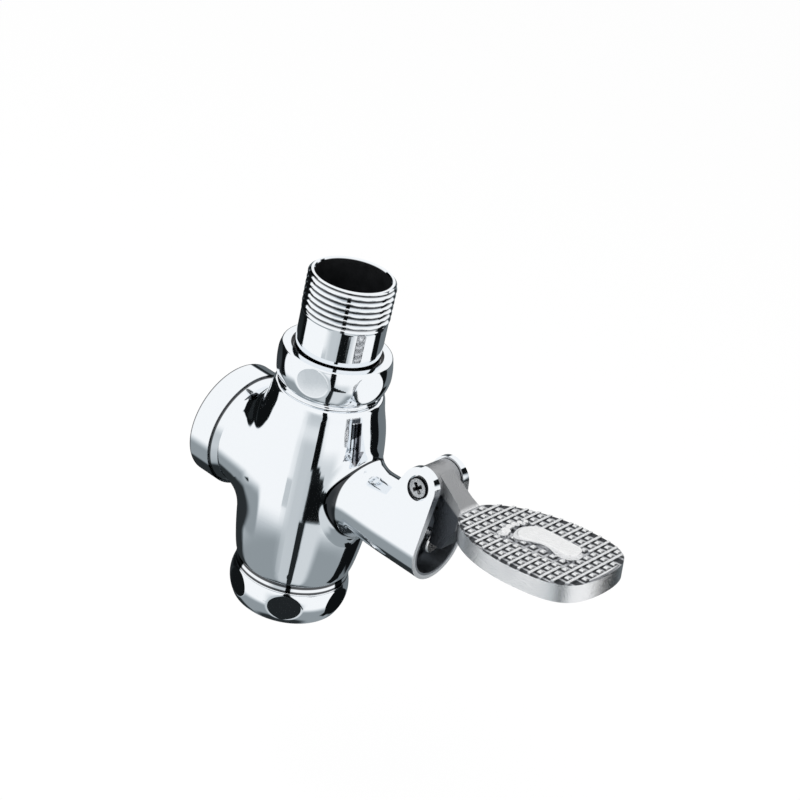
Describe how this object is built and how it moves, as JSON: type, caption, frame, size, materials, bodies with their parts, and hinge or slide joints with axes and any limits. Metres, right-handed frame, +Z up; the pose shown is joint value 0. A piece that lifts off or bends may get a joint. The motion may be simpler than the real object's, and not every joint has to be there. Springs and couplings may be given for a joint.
{
  "type": "foot pedal flush valve",
  "caption": "Chromed foot-operated flush valve with a threaded top inlet, a side outlet branch, a screwed bottom cap and a ribbed pedal that opens a piston inside.",
  "frame": {"origin": "middle of the inlet tail's mouth, at the top of the part", "axes": "+Z up along the inlet and the barrel, +X from the barrel towards the pedal, -X out of the outlet branch"},
  "size_m": [0.1766, 0.0522, 0.1405],
  "materials": {
    "chromed_brass": "polished mirror plating",
    "pedal_metal": "satin cast",
    "brass": "turned",
    "steel": "bright",
    "rubber": "matte",
    "fibre": "matte"
  },
  "bodies": {
    "valve": {"valve_body": "chromed_brass", "inlet_tail": "chromed_brass", "union_nut": "chromed_brass", "union_washer": "fibre", "inlet_strainer": "steel", "bottom_cap": "chromed_brass", "cap_gasket": "fibre", "seat_ring": "brass", "piston_spring": "steel", "gland_bush": "brass", "gland_washer": "rubber", "plunger_seal": "rubber", "plunger_spring": "steel", "pivot_screw": "steel"},
    "pedal": {"pedal": "pedal_metal"},
    "plunger": {"plunger": "steel", "adjusting_screw": "steel"},
    "piston": {"piston_body": "brass", "piston_guide": "brass", "seat_washer": "rubber", "cup_seal": "rubber", "seal_ring": "brass", "spring_cage": "brass", "relief_spring": "steel"},
    "relief": {"relief_valve": "brass", "relief_washer": "rubber"}
  },
  "joints": [
    {"name": "pedal_hinge", "type": "hinge", "parent": "valve", "child": "pedal", "pos_m": [0.0561, 0, -0.0571], "axis": [0, 1, 0], "range_deg": [0, 15], "stiffness_Nm_per_rad": 4, "springref_deg": -11.46},
    {"name": "plunger_slide", "type": "slide", "parent": "valve", "child": "plunger", "axis": [-1, 0, 0], "range_m": [0, 0.006], "deforming": ["plunger_spring"]},
    {"name": "piston_slide", "type": "slide", "parent": "valve", "child": "piston", "axis": [0, 0, -1], "range_m": [0, 0.007], "stiffness_N_per_m": 400, "springref_m": -0.02, "deforming": ["piston_spring"]},
    {"name": "relief_tilt", "type": "hinge", "parent": "piston", "child": "relief", "pos_m": [0.0062, 0, -0.1077], "axis": [0, -1, 0], "range_deg": [0, 13], "deforming": ["relief_spring"]}
  ],
  "couplings": [
    {"joint": "plunger_slide", "follows": "pedal_hinge", "m_per_rad": 0.0224},
    {"joint": "relief_tilt", "follows": "pedal_hinge", "ratio": 0.84}
  ]
}
